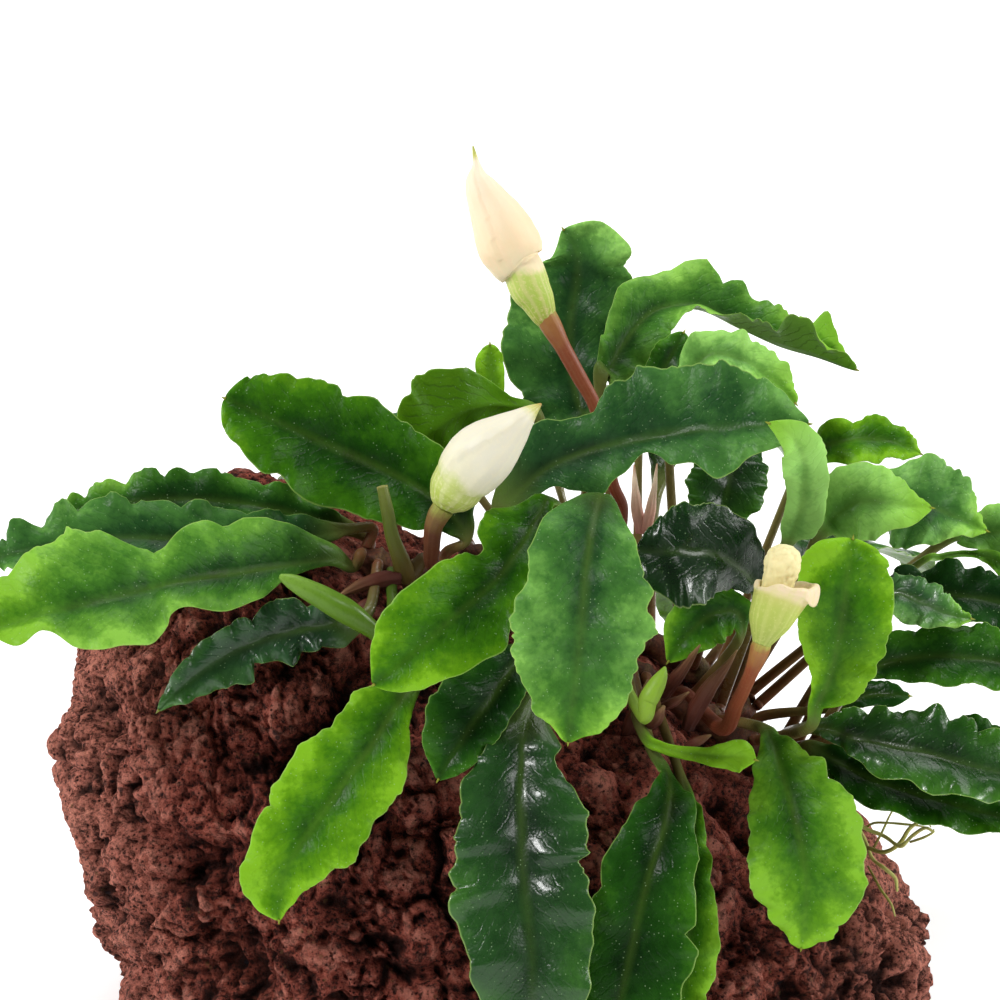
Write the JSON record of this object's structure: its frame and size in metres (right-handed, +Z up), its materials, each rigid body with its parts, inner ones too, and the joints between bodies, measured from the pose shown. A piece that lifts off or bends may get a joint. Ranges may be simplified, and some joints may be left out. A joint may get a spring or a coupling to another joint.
{
  "type": "bucephalandra on stone",
  "caption": "Small aquarium plant with dark wavy-edged leaves and pale hooded flowers, grown on a lump of porous red-brown lava rock.",
  "frame": {"origin": "middle of the flat underside of the stone", "axes": "+Z up; the side with the hanging leaves and open flower faces -Y; the high end of the stone is at -X"},
  "size_m": [0.1562, 0.1285, 0.1348],
  "materials": {
    "stone": "rough porous scoria",
    "leaf": "glossy wet leaf",
    "rhizome": "matt brown-green creeping stem and root",
    "spathe": "satin petal-like hood",
    "spadix": "matt, finely knobbed",
    "flower_stalk": "satin red-brown stalk"
  },
  "bodies": {
    "root": {"stone": "stone", "rhizome_left": "rhizome", "rhizome_front": "rhizome", "rhizome_back": "rhizome", "leaf_01": "leaf", "leaf_02": "leaf", "leaf_03": "leaf", "leaf_04": "leaf", "leaf_05": "leaf", "leaf_06": "leaf", "leaf_07": "leaf", "leaf_08": "leaf", "leaf_09": "leaf", "leaf_10": "leaf", "leaf_11": "leaf", "leaf_12": "leaf", "leaf_13": "leaf", "leaf_14": "leaf", "leaf_15": "leaf", "leaf_16": "leaf", "leaf_17": "leaf", "leaf_18": "leaf", "leaf_19": "leaf", "leaf_20": "leaf", "leaf_21": "leaf", "leaf_22": "leaf", "leaf_23": "leaf", "leaf_24": "leaf", "leaf_25": "leaf", "leaf_26": "leaf", "leaf_27": "leaf", "leaf_28": "leaf", "leaf_29": "leaf", "leaf_30": "leaf", "leaf_31": "leaf", "leaf_32": "leaf", "leaf_33": "leaf", "leaf_34": "leaf", "leaf_35": "leaf", "leaf_36": "leaf", "leaf_37": "leaf", "leaf_38": "leaf", "leaf_39": "leaf", "leaf_40": "leaf", "leaf_41": "leaf", "leaf_42": "leaf", "leaf_43": "leaf", "leaf_44": "leaf", "leaf_rolled": "leaf", "stalk_cut": "leaf", "bud_small": "leaf", "spathe_tall": "spathe", "stalk_tall": "flower_stalk", "spathe_closed": "spathe", "stalk_closed": "flower_stalk", "stalk_open": "flower_stalk", "spadix": "spadix", "root_long": "rhizome", "root_bent": "rhizome", "spathe_open": "spathe"}
  },
  "joints": []
}
